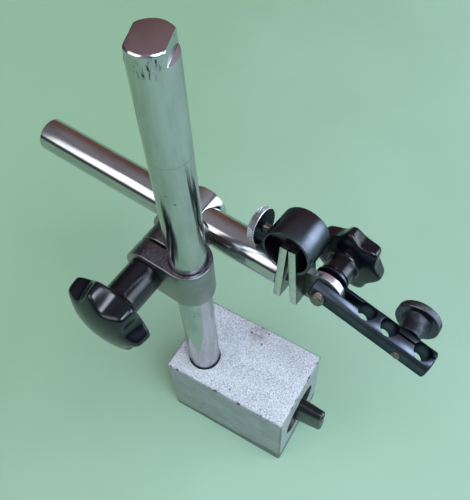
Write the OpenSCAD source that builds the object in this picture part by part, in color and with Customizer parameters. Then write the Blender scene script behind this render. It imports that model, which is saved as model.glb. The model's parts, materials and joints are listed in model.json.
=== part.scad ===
// Magnetic indicator base: a switchable magnet block with a post, a clamped arm,
// a spring ring for fine adjustment and a slotted bar that holds an indicator by its stem.
// Millimetres. The origin is the middle of the block's underside, +Z is up,
// and +X points to the end of the block that carries the switch lever.

/* [Magnet block] */
// Length of the block along X
base_l = 69; // [60:1:90]
// Width of the block along Y
base_w = 44.6; // [40:0.2:60]
// Height of the block
base_h = 57; // [55:1:75]
// Width of the broken edges of the block
base_edge = 0.9; // [0.3:0.1:1.5]
// Thickness of the non-magnetic spacers between the two poles
spacer_t = 4; // [2:0.5:5]
// Diameter of the rotor bore
bore_d = 28.5; // [24:0.5:30]
// Height of the rotor bore's axis above the underside
bore_z = 30.2; // [26:0.5:32]
// Thickness of the plug that closes the rear end of the bore
plug_t = 5; // [3:0.5:8]

/* [Switch] */
// Depth of the rotor's front disc below the end face
recess_depth = 7.5; // [5:0.5:10]
// Thickness of the rotor's front disc
disc_t = 4; // [3:0.5:6]
// Thickness of the bar magnet in the rotor
magnet_t = 10; // [6:0.5:14]
// Diameter of the rotor's spindle
spindle_d = 6; // [4:0.5:8]
// Height of the lever at its root
lever_h = 23; // [16:0.5:23.5]
// Thickness of the lever at its root
lever_t = 9; // [6:0.5:9]
// Height of the lever at its tip
lever_tip_h = 19.5; // [12:0.5:21]
// Thickness of the lever at its tip
lever_tip_t = 5.6; // [3:0.2:8]
// How far the lever stands out of the end face
lever_out = 14.2; // [8:0.5:25]

/* [Post] */
// Diameter of the post
post_d = 16; // [12:0.5:18]
// Place of the post along X
post_x = -19.7; // [-22:0.1:-12]
// Place of the post along Y
post_y = -7.5; // [-9:0.1:-6.2]
// Height of the post above the block
post_h = 210; // [180:1:300]
// Depth of the post's seat in the block
seat_depth = 1.5; // [0.5:0.1:3]
// Diameter of the threaded spigot under the post
spigot_d = 8; // [6:0.5:8]
// Length of the threaded spigot
spigot_l = 8; // [6:0.5:9]
// Width across the wrench flats
flats_af = 12; // [10:0.1:14]
// Height of the wrench flats
flats_h = 5.5; // [4:0.5:12]
// Turn of the wrench flats about the post
flats_turn = 16.5; // [-90:0.5:90]
// Width of the chamfer on the ends of the post and the arm
rod_edge = 0.6; // [0.3:0.1:1.5]

/* [Post clamp] */
// Height of the clamp's middle above the underside of the block
clamp_z = 143; // [90:1:220]
// Height of the clamp
clamp_h = 23; // [20:0.5:30]
// Wall of the clamp round the post
eye_wall = 2.2; // [1.8:0.1:5]
// Distance from the post's axis to the clamp bolt's axis
bolt_back = 15.9; // [15:0.1:22]
// Distance from the post's axis to the centre of the ears' round end
ear_back = 15.3; // [14:0.1:22]
// Width of the clamp's slot
clamp_slot = 1.2; // [0.8:0.1:2.5]
// Place of the clamp's slot in front of the post's axis
slot_fwd = 1; // [0:0.1:2]
// Diameter of the draw bolt's shank
bolt_d = 8; // [6:0.5:8]

/* [Arm clamp] */
// Diameter of the draw bolt's eye that the arm passes through
eye_d = 19.2; // [19:0.2:22]
// Wall of the eye behind the arm
eye_back = 2.6; // [2:0.1:6]
// Diameter of the saddle sleeve between the post clamp and the arm
sleeve_d = 26; // [25:0.2:30]
// Thickness of the sleeve's front wall
sleeve_front = 3; // [2.5:0.1:3.5]
// How far the sleeve reaches round the arm
sleeve_grip = 3; // [1:0.1:4]

/* [Knobs] */
// Number of lobes on the clamp knob
clamp_lobes = 7; // [5:1:8]
// Number of lobes on the swivel knob
swivel_lobes = 7; // [5:1:8]
// Turn of the clamp knob about its axis
clamp_knob_turn = 21; // [0:0.5:60]
// Turn of the swivel knob about its axis
swivel_knob_turn = 20.5; // [0:0.5:60]
// Radius over the lobes of the clamp knob
clamp_knob_r = 20; // [17:0.5:24]
// Diameter of the clamp knob's stem
clamp_stem_d = 16.4; // [14:0.2:19]
// Length of the clamp knob's stem
clamp_stem_l = 17.5; // [13:0.5:22]
// Thickness of the clamp knob's lobed head
clamp_head_l = 15.5; // [14:0.5:20]
// Radius over the lobes of the swivel knob
swivel_knob_r = 16.5; // [13:0.5:18]
// Diameter of the swivel knob's stem
swivel_stem_d = 13.6; // [11:0.2:15]
// Length of the swivel knob's stem
swivel_stem_l = 8.7; // [8:0.1:16]
// Thickness of the swivel knob's lobed head
swivel_head_l = 13; // [12:0.5:18]

/* [Arm] */
// Diameter of the arm
arm_d = 16; // [12:0.5:16.5]
// Turn of the arm about the post
arm_turn = -4.8; // [-20:0.1:20]
// Distance from the post's axis to the arm's axis
arm_off = 24.5; // [23.5:0.1:28]
// Length of the arm on the free side of the post
arm_back = 105; // [80:1:160]
// Length of the arm on the indicator's side of the post
arm_front = 31.5; // [28:0.5:80]

/* [Fine adjustment] */
// Roll of the head about the arm
head_roll = -7.2; // [-20:0.1:20]
// Width of the jaws and length of the spring ring
jaw_w = 16.2; // [14:0.1:20]
// Thickness of the jaws
jaw_t = 3.4; // [3:0.1:4]
// Height of the jaws' tops above the arm's axis
jaw_up = 22.4; // [22:0.1:24]
// Depth of the fixed jaw below the arm's axis
jaw_down = 9.4; // [9:0.1:12]
// Gap between the jaws at their tops
jaw_gap = 0.4; // [0.3:0.1:0.6]
// Lean of the moving jaw towards the fixed jaw
jaw_tilt = 8.2; // [6:0.1:9]
// Outer diameter of the spring ring
ring_d = 22.2; // [22:0.1:24]
// Wall of the spring ring
ring_wall = 1.3; // [1:0.1:1.8]
// Height of the ring's axis above the arm's axis
ring_up = 20; // [19.5:0.1:21]
// Distance from the arm's end to the ring's axis
ring_fwd = 3; // [2:0.1:4]
// Height of the adjusting screw above the arm's axis, at the fixed jaw
fine_up = 19.5; // [18:0.1:19.5]
// Rise of the adjusting screw towards the moving jaw
fine_lean = 6; // [0:0.5:8]
// Diameter of the adjusting screw's shank
fine_d = 3.5; // [3:0.5:3.5]
// Diameter of the adjusting screw's knurled head
fine_head_d = 16.5; // [14:0.5:18]
// Thickness of the adjusting screw's knurled head
fine_head_t = 3.4; // [3:0.1:5]
// Gap between the knurled head and the spring ring
fine_gap = 4; // [1.5:0.1:6]
// Diameter of the screw in the end of the arm
jaw_screw_d = 5; // [4:0.5:5]

/* [Swivel] */
// Radius of the tongue's round end
tongue_r = 8.4; // [7:0.1:8.6]
// Thickness of the tongue
tongue_t = 3.4; // [3:0.1:4]
// Distance from the moving jaw's face to the swivel axis
tongue_reach = 9; // [8.4:0.1:12]
// Distance of the swivel axis below the moving jaw's top
tongue_drop = 23.4; // [22.5:0.1:26]
// Diameter of the swivel stud
stud_d = 6; // [4:0.5:6]
// Thickness of each washer under the swivel knob
washer_t = 1; // [0.8:0.1:1.5]

/* [Indicator bar] */
// Diameter of the bar
bar_d = 11.9; // [11:0.1:13]
// Dip of the bar below the arm's direction
bar_dip = 11.1; // [-20:0.1:20]
// Length of the bar behind the swivel axis
bar_tail = 4.8; // [4.4:0.1:5]
// Length of the bar in front of the swivel axis
bar_front = 51.2; // [50.5:0.1:70]
// Diameter of the stem holes
stem_d = 8; // [6:0.5:8]
// Distance from the swivel axis to the hole at the end of the wide slot
hole_1 = 18.9; // [17:0.1:20]
// Distance from the swivel axis to the inner stem hole
hole_2 = 29.6; // [29:0.1:30.5]
// Distance from the swivel axis to the outer stem hole
hole_3 = 45.3; // [44.5:0.1:46]
// Width of the clamping slit
slit_w = 1; // [0.6:0.1:1.5]
// Diameter of the stem screw's shank
stem_screw_d = 4; // [3:0.5:4]
// Diameter of the stem screw's collar
collar_d = 10; // [8:0.2:10.4]
// Length of the stem screw's collar
collar_l = 8.2; // [5:0.1:12]
// Diameter of the stem screw's knurled head
stem_head_d = 19.5; // [16:0.5:24]
// Thickness of the stem screw's knurled head
stem_head_t = 3.6; // [3:0.1:6]

/* [Hidden] */
$fn = 96;
// Radial clearance of a shaft that turns or slides in its hole
run_fit = 0.05;
// Radial clearance of a piece that is pressed in or screwed home
set_fit = 0.03;
// Gap between flat faces of pieces that move on each other
face_gap = 0.1;
// Gap between curved faces of pieces that move past each other
clear_gap = 0.3;
// Spare length that a cutting shape stands past what it cuts
past = 2;

end_x = base_l / 2;
disc_front = end_x - recess_depth;
disc_back = disc_front - disc_t;
rotor_back = -end_x + plug_t + clear_gap;
rotor_d = bore_d - 2 * face_gap;
retainer_t = 1.2;
retainer_depth = 0.7;
retainer_reach = 0.8;
retainer_gap = 8;
lever_corner = 1.2;
slice_t = 0.05;

seat_z = base_h - seat_depth;
seat_gap = 0.3;
thread_relief = 1;
thread_edge = 0.5;

eye_r = post_d / 2 + eye_wall;
ear_r = clamp_h / 2;

sleeve_start = eye_r + face_gap;
sleeve_end = arm_off - arm_d / 2 + sleeve_grip;
sleeve_edge = 0.6;
eye_start = sleeve_start + sleeve_front + clear_gap;
eye_end = arm_off + arm_d / 2 + eye_back;
eye_edge = 0.6;
stem_start = eye_r + face_gap;

// Shares of a knob head's length that its domed end and its sloped underside take up
crown_share = 0.37;
heel_share = 0.23;
// Radius at the bottom of a knob's scallops as a share of the radius over the lobes, where the dome starts
valley_share = 0.73;
// Lean of the scallops, which are shallower towards the stem
scallop_lean = 13;
// Half of the angle that the crest of a lobe takes up
crest_half = 3;
insert_d = 12;
insert_l = 13;
bolt_grip = 12;
swivel_insert_l = 9;

jaw_x = arm_front + face_gap;
ring_x = arm_front + ring_fwd;
move_x = jaw_x + jaw_t + jaw_gap;
jaw_len = jaw_up + jaw_down;
// Places along the adjusting screw, counted from the fixed jaw's outer face
fine_face = ring_x - ring_d / 2 - fine_gap - jaw_x;
fine_rim_up = jaw_up - fine_up - fine_d / 2 * cos(fine_lean);
fine_rim_x = move_x - jaw_x + fine_rim_up * tan(jaw_tilt) + fine_d / 2 * sin(fine_lean);
fine_slant = cos(fine_lean) + sin(fine_lean) * tan(jaw_tilt);
fine_tip = (fine_rim_x - face_gap / cos(jaw_tilt)) / fine_slant;
fine_edge = 0.5;
countersink_d = 9;
countersink_h = 2.2;
jaw_screw_l = 10;

// Place of the swivel axis in the head's frame
swivel_x = move_x + (jaw_t + tongue_reach) * cos(jaw_tilt) + tongue_drop * sin(jaw_tilt);
swivel_z = jaw_up + (jaw_t + tongue_reach) * sin(jaw_tilt) - tongue_drop * cos(jaw_tilt);

bar_slot = tongue_t + 2 * face_gap;
bar_edge = 0.5;
spot_depth = 1;
spot_y = bar_d / 2 - spot_depth;
spot_gap = 0.2;
washer_d = 15;
// Step from the tongue's round end down to its neck
neck_step = 1;
stud_out = 2;
// How far the stem screw sits past the middle between the two stem holes
stem_screw_past = 0.6;
stem_screw_x = (hole_2 + hole_3) / 2 + stem_screw_past;
stem_screw_out = 0.6;
knurl_edge = 0.5;

// Colours of the finishes
paint_grey = [0.68, 0.69, 0.70];
bright_steel = [0.80, 0.81, 0.82];
satin_steel = [0.50, 0.50, 0.50];
black_oxide = [0.13, 0.13, 0.14];
black_plastic = [0.06, 0.06, 0.07];
brass_yellow = [0.72, 0.58, 0.30];
magnet_dark = [0.25, 0.25, 0.27];

// A round bar along X
module bar_x(d, from, to) {
    translate([from, 0, 0]) rotate([0, 90, 0]) cylinder(d = d, h = to - from);
}

// A round bar along Y
module bar_y(d, from, to) {
    translate([0, from, 0]) rotate([-90, 0, 0]) cylinder(d = d, h = to - from);
}

// A box given by its lowest and highest corners
module span(low, high) {
    translate(low) cube(high - low);
}

// A round bar along Z with a chamfer on each end
module edged_bar(d, h, edge) {
    cylinder(d1 = d - 2 * edge, d2 = d, h = edge);
    translate([0, 0, edge]) cylinder(d = d, h = h - 2 * edge);
    translate([0, 0, h - edge]) cylinder(d1 = d, d2 = d - 2 * edge, h = edge);
}

// A rectangle with its corners cut off
module edged_rect(w, h, edge) {
    polygon([
        [-w / 2 + edge, -h / 2], [w / 2 - edge, -h / 2], [w / 2, -h / 2 + edge], [w / 2, h / 2 - edge],
        [w / 2 - edge, h / 2], [-w / 2 + edge, h / 2], [-w / 2, h / 2 - edge], [-w / 2, -h / 2 + edge]
    ]);
}

// The frame of the clamp and the arm: on the post's axis at the clamp's height, +X along the arm
module on_arm() {
    translate([post_x, post_y, clamp_z]) rotate([0, 0, arm_turn]) children();
}

// The frame of the clamp bolt: on the bolt's axis, which runs along Y
module on_bolt() {
    on_arm() translate([-bolt_back, 0, 0]) children();
}

// The frame of the head: on the arm's axis, rolled about it
module on_head() {
    on_arm() translate([0, arm_off, 0]) rotate([head_roll, 0, 0]) children();
}

// The adjusting screw's axis in the head's frame, from the fixed jaw's outer face
module on_fine_axis() {
    translate([jaw_x, 0, fine_up]) rotate([0, -fine_lean, 0]) children();
}

// The frame of the moving jaw: at the inner edge of its top, leaning with the jaw
module on_moving_jaw() {
    on_head() translate([move_x, 0, jaw_up]) rotate([0, -jaw_tilt, 0]) children();
}

// The frame of the indicator bar: on the swivel axis, +X along the bar
module on_bar() {
    on_head() translate([swivel_x, 0, swivel_z]) rotate([0, bar_dip, 0]) children();
}

// The outer form of the magnet block, with broken edges
module block_form() {
    intersection() {
        linear_extrude(height = base_h) edged_rect(base_l, base_w, base_edge);
        translate([0, base_w / 2, base_h / 2]) rotate([90, 0, 0])
            linear_extrude(height = base_w) edged_rect(base_l, base_h, base_edge);
        translate([-end_x, 0, base_h / 2]) rotate([90, 0, 90])
            linear_extrude(height = base_l) edged_rect(base_w, base_h, base_edge);
    }
}

// Everything that is cut out of the block: rotor bore, retainer groove, post seat and spigot hole
module block_cuts() {
    translate([0, 0, bore_z]) bar_x(bore_d, -end_x - past, end_x + past);
    translate([0, 0, bore_z])
        bar_x(bore_d + 2 * retainer_depth, disc_front + face_gap, disc_front + 3 * face_gap + retainer_t);
    translate([post_x, post_y, seat_z]) cylinder(d = post_d + 2 * seat_gap, h = seat_depth + past);
    translate([post_x, post_y, seat_z - spigot_l - thread_relief])
        cylinder(d = spigot_d + 2 * run_fit, h = spigot_l + thread_relief + past);
}

// One slice of the block between two heights and two places along Y
module block_slice(y_low, y_high, z_low, z_high) {
    difference() {
        intersection() {
            block_form();
            span([-end_x - past, y_low, z_low], [end_x + past, y_high, z_high]);
        }
        block_cuts();
    }
}

module pole_front() {
    color(paint_grey) block_slice(-base_w, -spacer_t / 2, -past, base_h + past);
}

module pole_rear() {
    color(paint_grey) block_slice(spacer_t / 2, base_w, -past, base_h + past);
}

module spacer_upper() {
    color(brass_yellow) block_slice(-spacer_t / 2, spacer_t / 2, bore_z, base_h + past);
}

module spacer_lower() {
    color(brass_yellow) block_slice(-spacer_t / 2, spacer_t / 2, -past, bore_z);
}

module rear_plug() {
    color(paint_grey) translate([0, 0, bore_z]) difference() {
        bar_x(bore_d - 2 * set_fit, -end_x, -end_x + plug_t);
        bar_x(spindle_d + 2 * run_fit, -end_x + plug_t / 2, -end_x + plug_t + past);
    }
}

module retaining_ring() {
    ring_back = disc_front + 2 * face_gap;
    color(black_oxide) translate([0, 0, bore_z]) difference() {
        bar_x(bore_d + 2 * retainer_depth - 2 * set_fit, ring_back, ring_back + retainer_t);
        bar_x(bore_d - 2 * retainer_reach, ring_back - past, ring_back + retainer_t + past);
        span([ring_back - past, -retainer_gap / 2, -bore_d],
             [ring_back + retainer_t + past, retainer_gap / 2, 0]);
    }
}

// The rotor's core between the plug and the front disc
module rotor_core() {
    translate([0, 0, bore_z]) difference() {
        bar_x(rotor_d, rotor_back, disc_back);
        bar_x(spindle_d + 2 * set_fit, rotor_back - past, disc_back + past);
    }
}

// The slab of the rotor's core that the magnet fills
module magnet_slab() {
    span([-end_x, -base_w, bore_z - magnet_t / 2], [end_x, base_w, bore_z + magnet_t / 2]);
}

module rotor_magnet() {
    color(magnet_dark) intersection() {
        rotor_core();
        magnet_slab();
    }
}

module rotor_shoes() {
    color(satin_steel) difference() {
        rotor_core();
        magnet_slab();
    }
}

module rotor_spindle() {
    color(satin_steel) translate([0, 0, bore_z])
        bar_x(spindle_d, -end_x + plug_t / 2 + clear_gap, disc_front - disc_t / 2);
}

module rotor_disc() {
    color(black_plastic) translate([0, 0, bore_z]) difference() {
        bar_x(rotor_d, disc_back, disc_front);
        bar_x(spindle_d + 2 * set_fit, disc_back - past, disc_front - disc_t / 2);
    }
}

// One cross-section of the lever, as a thin slice with half-round ends
module lever_slice(x, height, thickness) {
    for (side = [-1, 1]) translate([x, 0, side * (height - thickness) / 2])
        rotate([0, 90, 0]) cylinder(d = thickness, h = slice_t, $fn = 32);
}

module switch_lever() {
    length = recess_depth + lever_out;
    color(black_plastic) translate([disc_front, 0, bore_z]) hull() {
        lever_slice(0, lever_h, lever_t);
        lever_slice(length - lever_corner - slice_t, lever_tip_h, lever_tip_t);
        lever_slice(length - slice_t, lever_tip_h - 2 * lever_corner, lever_tip_t - lever_corner);
    }
}

module post() {
    color(bright_steel) translate([post_x, post_y, 0]) {
        translate([0, 0, seat_z - spigot_l]) cylinder(d = spigot_d, h = spigot_l);
        difference() {
            translate([0, 0, seat_z]) edged_bar(post_d, post_h + seat_depth, rod_edge);
            translate([0, 0, base_h + post_h - flats_h]) rotate([0, 0, flats_turn])
                for (side = [0, 180]) rotate([0, 0, side])
                    translate([flats_af / 2, -post_d, 0]) cube([post_d, 2 * post_d, flats_h + past]);
        }
    }
}

// The clamp seen from above: an eye with a straight-sided tail
module clamp_plan() {
    translate([0, 0, -ear_r]) cylinder(r = eye_r, h = clamp_h);
    span([-ear_back - ear_r, -eye_r, -ear_r], [0, eye_r, ear_r]);
}

// The clamp seen along the bolt: straight, with a half-round end
module clamp_side() {
    translate([-ear_back, 0, 0]) bar_y(clamp_h, -eye_r - past, eye_r + past);
    span([-ear_back, -eye_r - past, -ear_r], [eye_r + past, eye_r + past, ear_r]);
}

module post_clamp() {
    color(satin_steel) on_arm() difference() {
        intersection() {
            clamp_plan();
            clamp_side();
        }
        translate([0, 0, -clamp_h]) cylinder(d = post_d + 2 * run_fit, h = 2 * clamp_h);
        translate([-bolt_back, 0, 0]) bar_y(bolt_d + 2 * clear_gap, -2 * eye_r, 2 * eye_r);
        span([-2 * bolt_back, -slot_fwd - clamp_slot / 2, -clamp_h], [0, -slot_fwd + clamp_slot / 2, clamp_h]);
    }
}

// The cross hole for the arm, in the frame of the clamp bolt
module arm_hole() {
    translate([0, arm_off, 0]) bar_x(arm_d + 2 * run_fit, -sleeve_d, sleeve_d);
}

module saddle_sleeve() {
    color(satin_steel) on_bolt() difference() {
        translate([0, sleeve_start, 0]) rotate([-90, 0, 0])
            edged_bar(sleeve_d, sleeve_end - sleeve_start, sleeve_edge);
        bar_y(eye_d + 2 * run_fit, sleeve_start + sleeve_front, sleeve_end + past);
        bar_y(bolt_d + 2 * run_fit, sleeve_start - past, sleeve_end);
        arm_hole();
    }
}

module draw_bolt() {
    color(bright_steel) on_bolt() difference() {
        union() {
            bar_y(bolt_d, -stem_start - bolt_grip, eye_start + past);
            translate([0, eye_start, 0]) rotate([-90, 0, 0]) edged_bar(eye_d, eye_end - eye_start, eye_edge);
        }
        arm_hole();
    }
}

// A lobed knob along Z: its stem stands on Z = 0, and its domed head ends it
module lobed_knob(stem_d, stem_l, lobe_r, head_l, lobes) {
    crown = head_l * crown_share;
    crown_r = (lobe_r * lobe_r + crown * crown) / (2 * crown);
    heel = head_l * heel_share;
    heel_z = (lobe_r * lobe_r + heel * heel - stem_d * stem_d / 4) / (2 * heel);
    heel_r = sqrt(heel_z * heel_z + stem_d * stem_d / 4);
    scallop_half = 180 / lobes - crest_half;
    scallop_chord = lobe_r * sin(scallop_half);
    scallop_sag = lobe_r * (cos(scallop_half) - valley_share);
    scallop_r = (scallop_chord * scallop_chord + scallop_sag * scallop_sag) / (2 * scallop_sag);
    cylinder(d = stem_d, h = stem_l + heel);
    translate([0, 0, stem_l]) difference() {
        intersection() {
            cylinder(r = lobe_r, h = head_l);
            translate([0, 0, head_l - crown_r]) sphere(r = crown_r);
            translate([0, 0, heel_z]) sphere(r = heel_r);
        }
        for (i = [0 : lobes - 1]) rotate([0, 0, i * 360 / lobes])
            translate([lobe_r * valley_share + scallop_r, 0, head_l - crown])
                rotate([0, -scallop_lean, 0]) cylinder(r = scallop_r, h = 3 * head_l, center = true);
    }
}

// The clamp knob's frame: its stem starts at the clamp's front ear and points away from it
module on_clamp_knob() {
    on_bolt() translate([0, -stem_start, 0]) rotate([90, 0, 0]) rotate([0, 0, clamp_knob_turn]) children();
}

module clamp_knob() {
    color(black_plastic) on_clamp_knob() difference() {
        lobed_knob(clamp_stem_d, clamp_stem_l, clamp_knob_r, clamp_head_l, clamp_lobes);
        translate([0, 0, -past]) cylinder(d = insert_d + 2 * set_fit, h = insert_l + past);
    }
}

module clamp_knob_insert() {
    color(brass_yellow) on_clamp_knob() difference() {
        cylinder(d = insert_d, h = insert_l);
        translate([0, 0, -past]) cylinder(d = bolt_d + 2 * run_fit, h = insert_l + 2 * past);
    }
}

module arm() {
    color(bright_steel) on_arm() translate([0, arm_off, 0]) difference() {
        translate([-arm_back, 0, 0]) rotate([0, 90, 0]) edged_bar(arm_d, arm_back + arm_front, rod_edge);
        bar_x(jaw_screw_d + 2 * set_fit, arm_front - jaw_screw_l - thread_relief, arm_front + past);
    }
}

module jaw_screw() {
    head_x = jaw_x + jaw_t - face_gap;
    color(satin_steel) on_head() {
        bar_x(jaw_screw_d, arm_front - jaw_screw_l, head_x - countersink_h);
        translate([head_x - countersink_h, 0, 0]) rotate([0, 90, 0])
            cylinder(d1 = jaw_screw_d, d2 = countersink_d, h = countersink_h);
    }
}

module fixed_jaw() {
    sink_x = jaw_x + jaw_t - countersink_h;
    sink_d = countersink_d + 2 * clear_gap;
    color(satin_steel) on_head() difference() {
        span([jaw_x, -jaw_w / 2, -jaw_down], [jaw_x + jaw_t, jaw_w / 2, jaw_up]);
        bar_x(jaw_screw_d + 2 * run_fit, jaw_x - past, jaw_x + jaw_t + past);
        translate([sink_x - clear_gap, 0, 0]) rotate([0, 90, 0])
            cylinder(d1 = jaw_screw_d + 2 * run_fit, d2 = sink_d, h = countersink_h + clear_gap);
        on_fine_axis() bar_x(fine_d + 2 * run_fit, -past, jaw_t + past);
    }
}

module spring_ring() {
    color(black_oxide) difference() {
        on_head() translate([ring_x, 0, ring_up]) difference() {
            bar_y(ring_d, -jaw_w / 2, jaw_w / 2);
            bar_y(ring_d - 2 * ring_wall, -jaw_w, jaw_w);
        }
        on_head() span([jaw_x, -jaw_w, -jaw_down], [move_x, jaw_w, ring_up]);
        on_moving_jaw() span([-jaw_t, -jaw_w, -jaw_len], [jaw_t + clear_gap, jaw_w, 0]);
        on_head() on_fine_axis() bar_x(fine_d + 2 * clear_gap, fine_face, ring_x - jaw_x);
    }
}

module fine_screw() {
    color(black_oxide) on_head() on_fine_axis() {
        translate([fine_face - fine_head_t, 0, 0]) rotate([0, 90, 0])
            edged_bar(fine_head_d, fine_head_t, fine_edge);
        bar_x(fine_d, fine_face, fine_tip);
    }
}

module moving_jaw() {
    color(satin_steel) on_moving_jaw() span([0, -jaw_w / 2, -jaw_len], [jaw_t, jaw_w / 2, 0]);
}

module swivel_tongue() {
    neck_up = tongue_r - neck_step;
    color(bright_steel) on_moving_jaw() difference() {
        union() {
            translate([jaw_t + tongue_reach, 0, -tongue_drop]) bar_y(2 * tongue_r, -tongue_t / 2, tongue_t / 2);
            span([jaw_t, -tongue_t / 2, -jaw_len],
                 [jaw_t + tongue_reach, tongue_t / 2, -tongue_drop + neck_up]);
        }
        translate([jaw_t + tongue_reach, 0, -tongue_drop]) bar_y(stud_d + 2 * run_fit, -jaw_w, jaw_w);
    }
}

module indicator_bar() {
    color(black_oxide) on_bar() difference() {
        translate([-bar_tail, 0, 0]) rotate([0, 90, 0]) edged_bar(bar_d, bar_tail + bar_front, bar_edge);
        span([-bar_tail - past, -bar_slot / 2, -bar_d], [hole_1, bar_slot / 2, bar_d]);
        span([hole_2, -slit_w / 2, -bar_d], [bar_front + past, slit_w / 2, bar_d]);
        for (x = [hole_1, hole_2, hole_3]) translate([x, 0, -bar_d]) cylinder(d = stem_d, h = 2 * bar_d);
        bar_y(stud_d + 2 * run_fit, -bar_d, bar_d);
        bar_y(washer_d + 2 * spot_gap, spot_y, bar_d);
        translate([stem_screw_x, 0, 0]) bar_y(stem_screw_d + 2 * run_fit, -bar_d, bar_d);
        translate([stem_screw_x, 0, 0]) bar_y(collar_d + 2 * spot_gap, spot_y, bar_d);
    }
}

// One of the washers under the swivel knob, counted from the bar
module knob_washer(place, d) {
    on_bar() difference() {
        bar_y(d, spot_y + place * washer_t, spot_y + (place + 1) * washer_t);
        bar_y(stud_d + 2 * run_fit, -bar_d, 2 * bar_d);
    }
}

module swivel_washer() {
    color(satin_steel) knob_washer(0, washer_d);
}

module swivel_spring_washer() {
    color(black_oxide) knob_washer(1, washer_d - 2 * washer_t);
}

// The swivel knob's frame: its stem starts on the washers and points away from the bar
module on_swivel_knob() {
    on_bar() translate([0, spot_y + 2 * washer_t + face_gap, 0]) rotate([-90, 0, 0])
        rotate([0, 0, swivel_knob_turn]) children();
}

module swivel_knob() {
    color(black_plastic) on_swivel_knob() difference() {
        lobed_knob(swivel_stem_d, swivel_stem_l, swivel_knob_r, swivel_head_l, swivel_lobes);
        translate([0, 0, -past]) cylinder(d = stud_d + 2 * set_fit, h = swivel_insert_l + past);
    }
}

module swivel_stud() {
    tip_y = -bar_d / 2 - stud_out;
    end_y = spot_y + 2 * washer_t + face_gap + swivel_insert_l;
    color(satin_steel) on_bar() translate([0, tip_y, 0]) rotate([-90, 0, 0])
        edged_bar(stud_d, end_y - tip_y, thread_edge);
}

module stem_screw() {
    color(black_oxide) on_bar() translate([stem_screw_x, 0, 0]) {
        bar_y(stem_screw_d, -bar_d / 2 - stem_screw_out, spot_y + past);
        bar_y(collar_d, spot_y + face_gap, spot_y + face_gap + collar_l);
        translate([0, spot_y + face_gap + collar_l, 0]) rotate([-90, 0, 0])
            edged_bar(stem_head_d, stem_head_t, knurl_edge);
    }
}

pole_front();
pole_rear();
spacer_upper();
spacer_lower();
rear_plug();
retaining_ring();
rotor_magnet();
rotor_shoes();
rotor_spindle();
rotor_disc();
switch_lever();
post();
post_clamp();
saddle_sleeve();
draw_bolt();
clamp_knob();
clamp_knob_insert();
arm();
jaw_screw();
fixed_jaw();
spring_ring();
fine_screw();
moving_jaw();
swivel_tongue();
indicator_bar();
swivel_washer();
swivel_spring_washer();
swivel_knob();
swivel_stud();
stem_screw();
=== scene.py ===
"""Looks of a magnetic indicator base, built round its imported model.

Lengths are metres in the part's own frame: the origin is the middle of the block's underside,
+Z is up, and +X points to the end of the block that carries the switch lever.
"""

import json
import math

import bmesh
import bpy
import numpy as np
from mathutils import Euler, Matrix, Vector


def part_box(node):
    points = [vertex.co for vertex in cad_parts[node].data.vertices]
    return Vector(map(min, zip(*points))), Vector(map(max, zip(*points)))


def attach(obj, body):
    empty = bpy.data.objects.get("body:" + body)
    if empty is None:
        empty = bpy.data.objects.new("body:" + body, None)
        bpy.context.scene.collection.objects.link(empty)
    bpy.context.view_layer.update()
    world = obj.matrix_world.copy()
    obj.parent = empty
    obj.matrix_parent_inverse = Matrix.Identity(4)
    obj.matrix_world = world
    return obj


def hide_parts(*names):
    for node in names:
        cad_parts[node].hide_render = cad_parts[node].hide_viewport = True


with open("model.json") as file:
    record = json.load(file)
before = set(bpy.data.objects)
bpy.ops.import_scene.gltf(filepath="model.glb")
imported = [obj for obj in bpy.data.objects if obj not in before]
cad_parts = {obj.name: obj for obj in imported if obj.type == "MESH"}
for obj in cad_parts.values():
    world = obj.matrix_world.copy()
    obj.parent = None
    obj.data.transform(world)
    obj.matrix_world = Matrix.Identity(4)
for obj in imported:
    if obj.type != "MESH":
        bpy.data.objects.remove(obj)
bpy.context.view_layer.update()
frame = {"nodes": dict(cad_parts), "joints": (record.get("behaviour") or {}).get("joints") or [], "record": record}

MM = 0.001
TINY = 0.01 * MM
NODES = frame["nodes"]
JOINTS = {joint["name"]: joint for joint in frame["joints"]}
BODIES = frame["record"]["behaviour"]["bodies"]
BODY_OF = {node: body for body, nodes in BODIES.items() for node in nodes}

# The camera of the photograph, fitted to the block and the two rods: its turn is in degrees,
# its lens and sensor are in millimetres
CAMERA_PLACE = (0.0754, -0.1165, 0.3839)
CAMERA_TURN = (32.458, 1.864, 30.503)
CAMERA_LENS = 47.67
CAMERA_SENSOR = 36
CAMERA_NEAR = 0.01

# The lamp that stands for a window
WINDOW_PLACE = (-0.59, -0.84, 0.88)
WINDOW_TARGET = (0, 0, 0.1)
WINDOW_SIZE = (0.85, 0.88)
WINDOW_POWER = 4.8

# The floor: half its width, and where along X its painted shade ends and its pale colour is full
FLOOR_HALF = 2.5
FLOOR_FADE = (-0.18, 0.24)

# Angles between faces: shading breaks above the first, faces are joined below the second, and edges
# are rounded above the third
SHADING_BREAK = math.radians(38)
FLAT_ANGLE = math.radians(0.5)
SHARP_ANGLE = math.radians(28)

# Cosines above which a face counts as facing a direction, and upwards
FACING = 0.9
FACING_UP = 0.85

# How far the sharp edges of the pieces are rounded
BLOCK_EDGE = 0.3 * MM
POST_EDGE = 0.12 * MM
CLAMP_EDGE = 0.55 * MM
SLEEVE_EDGE = 0.25 * MM
BOLT_EDGE = 0.2 * MM
JAW_EDGE = 0.32 * MM
TONGUE_EDGE = 0.2 * MM
RING_EDGE = 0.25 * MM
BAR_EDGE = 0.14 * MM
WASHER_EDGE = 0.15 * MM

# The lever: the radius of its tip, and the rows and steps of its mesh
LEVER_ROUND = 1.6 * MM
LEVER_ROWS = 14
LEVER_TIP_ROWS = 6
LEVER_STEPS = 56

# The arm: steps round it, and the longest face along it
ROD_STEPS = 160
ROD_ROW = 12 * MM

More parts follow.
